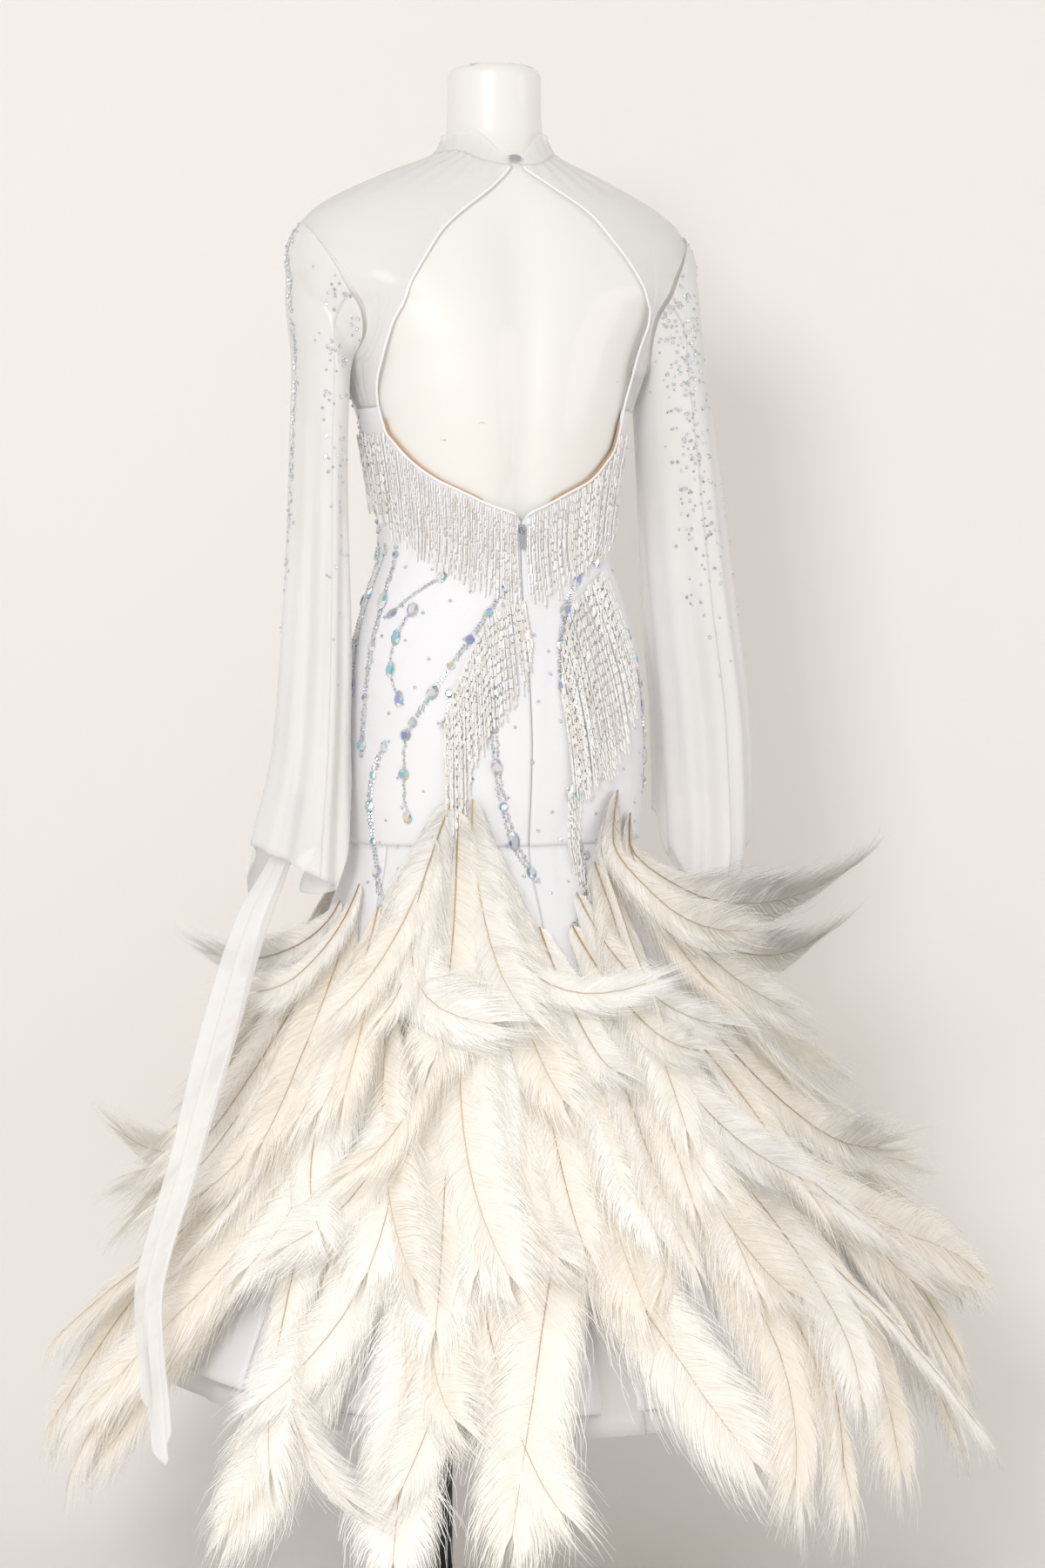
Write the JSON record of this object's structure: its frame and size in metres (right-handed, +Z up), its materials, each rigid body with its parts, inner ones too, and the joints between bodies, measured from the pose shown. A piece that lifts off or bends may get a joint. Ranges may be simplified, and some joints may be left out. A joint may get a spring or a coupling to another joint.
{
  "type": "ballroom dance dress on a dress form",
  "caption": "Full-length ballroom gown with an open keyhole back, sheer bell sleeves, bead fringe and tiers of ostrich plumes, on a limbless dress form with a round stand.",
  "frame": {"origin": "middle of the round base's underside, on the torso's axis", "axes": "+Z up, the dress's front faces -Y and its open back +Y, the wearer's left is +X"},
  "size_m": [0.9568, 0.9048, 1.636],
  "materials": {
    "satin": "matt white stretch satin",
    "mesh": "sheer white stretch mesh",
    "chiffon": "sheer white chiffon with a rolled edge",
    "net": "stiff white net",
    "plumes": "ivory ostrich plumes with tan spines",
    "beads": "silver-lined glass bugle beads",
    "crystal": "faceted crystal with a rainbow coating",
    "metal": "bright nickel",
    "elastic": "tan elastic",
    "form": "glossy off-white fibreglass with small scuffs",
    "stand": "black paint, half gloss"
  },
  "bodies": {
    "dress": {"collar": "mesh", "edge_left": "satin", "edge_right": "satin", "elastic_left": "elastic", "elastic_right": "elastic", "float_left": "chiffon", "form_torso": "form", "fringe_hip_left": "beads", "fringe_hip_right": "beads", "fringe_tail_right": "beads", "fringe_waist_left": "beads", "fringe_waist_right": "beads", "neck_clasp": "crystal", "panel_back_left": "satin", "panel_back_right": "satin", "panel_front_left": "satin", "panel_front_right": "satin", "petticoat_back_left": "net", "petticoat_back_right": "net", "petticoat_front_left": "net", "petticoat_front_right": "net", "plumes_lower_back_left": "plumes", "plumes_lower_back_right": "plumes", "plumes_lower_front_left": "plumes", "plumes_lower_front_right": "plumes", "plumes_middle_back_left": "plumes", "plumes_middle_back_right": "plumes", "plumes_middle_front_left": "plumes", "plumes_middle_front_right": "plumes", "plumes_upper_back_left": "plumes", "plumes_upper_back_right": "plumes", "plumes_upper_front_left": "plumes", "plumes_upper_front_right": "plumes", "skirt_back_left": "satin", "skirt_back_right": "satin", "skirt_front_left": "satin", "skirt_front_right": "satin", "skirt_side_left": "satin", "skirt_side_right": "satin", "sleeve_left_top": "chiffon", "sleeve_left_under": "chiffon", "sleeve_right_top": "chiffon", "sleeve_right_under": "chiffon", "stand_base": "stand", "stand_pole": "stand", "yoke_back_left": "mesh", "yoke_back_right": "mesh", "yoke_front": "mesh", "zip_slider": "metal"},
    "zip_pull": {"zip_pull": "metal"}
  },
  "joints": [
    {"name": "zip_pull_hinge", "type": "hinge", "parent": "dress", "child": "zip_pull", "pos_m": [0, 0.0918, 1.167], "axis": [1, 0, 0], "range_deg": [0, 140]}
  ]
}
